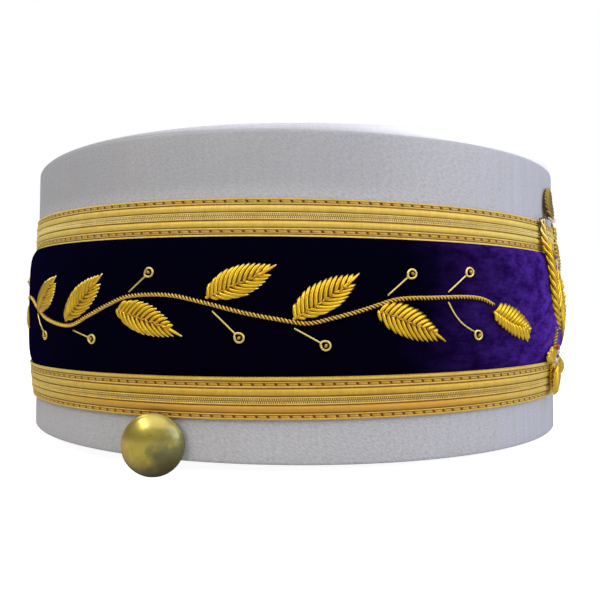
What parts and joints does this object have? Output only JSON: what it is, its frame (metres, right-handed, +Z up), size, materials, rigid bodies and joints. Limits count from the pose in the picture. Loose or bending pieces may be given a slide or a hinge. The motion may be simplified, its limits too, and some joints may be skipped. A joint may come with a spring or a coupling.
{
  "type": "ceremonial pillbox cap",
  "caption": "Oval rigid cap with satin wall and domed crown, padded velvet band, gold braids, bullion laurel, front crest and domed side buttons.",
  "frame": {"origin": "centre of the cap's bounding box, on the surface that it rests on", "axes": "+Z up, -Y towards the front of the cap, +Y to its back, -X to the wearer's right side"},
  "size_m": [0.176, 0.2104, 0.0996],
  "materials": {
    "wall_satin": "white satin with a fine diagonal weave",
    "crown_satin": "white satin, smooth",
    "purple_velvet": "deep purple velvet pile",
    "gold_braid": "ribbed metallic gold braid",
    "gold_cord": "two-ply twisted gold cord",
    "gold_bullion": "coiled gold bullion wire, bright",
    "boss_silk": "padded purple silk with gold bullion rims",
    "brass": "domed brass, worn, slightly tarnished"
  },
  "bodies": {
    "root": {"crown_side": "wall_satin", "crown_top": "crown_satin", "velvet_band": "purple_velvet", "upper_braid": "gold_braid", "lower_braid": "gold_braid", "stem_right": "gold_cord", "stem_left": "gold_cord", "leaf_right_1": "gold_bullion", "leaf_right_2": "gold_bullion", "leaf_right_3": "gold_bullion", "leaf_right_4": "gold_bullion", "leaf_right_5": "gold_bullion", "leaf_right_6": "gold_bullion", "leaf_right_7": "gold_bullion", "leaf_right_8": "gold_bullion", "leaf_left_1": "gold_bullion", "leaf_left_2": "gold_bullion", "leaf_left_3": "gold_bullion", "leaf_left_4": "gold_bullion", "leaf_left_5": "gold_bullion", "leaf_left_6": "gold_bullion", "leaf_left_7": "gold_bullion", "leaf_left_8": "gold_bullion", "berry_right_1": "gold_bullion", "berry_right_2": "gold_bullion", "berry_right_3": "gold_bullion", "berry_right_4": "gold_bullion", "berry_right_5": "gold_bullion", "berry_right_6": "gold_bullion", "berry_right_7": "gold_bullion", "berry_right_8": "gold_bullion", "berry_right_9": "gold_bullion", "berry_left_1": "gold_bullion", "berry_left_2": "gold_bullion", "berry_left_3": "gold_bullion", "berry_left_4": "gold_bullion", "berry_left_5": "gold_bullion", "berry_left_6": "gold_bullion", "berry_left_7": "gold_bullion", "berry_left_8": "gold_bullion", "berry_left_9": "gold_bullion", "crest_boss": "boss_silk", "crest_fan": "gold_bullion", "crest_drop": "gold_bullion", "crest_spray_right": "gold_bullion", "crest_spray_left": "gold_bullion", "crest_scroll_right": "gold_bullion", "crest_scroll_left": "gold_bullion", "button_right": "brass", "button_left": "brass"}
  },
  "joints": []
}
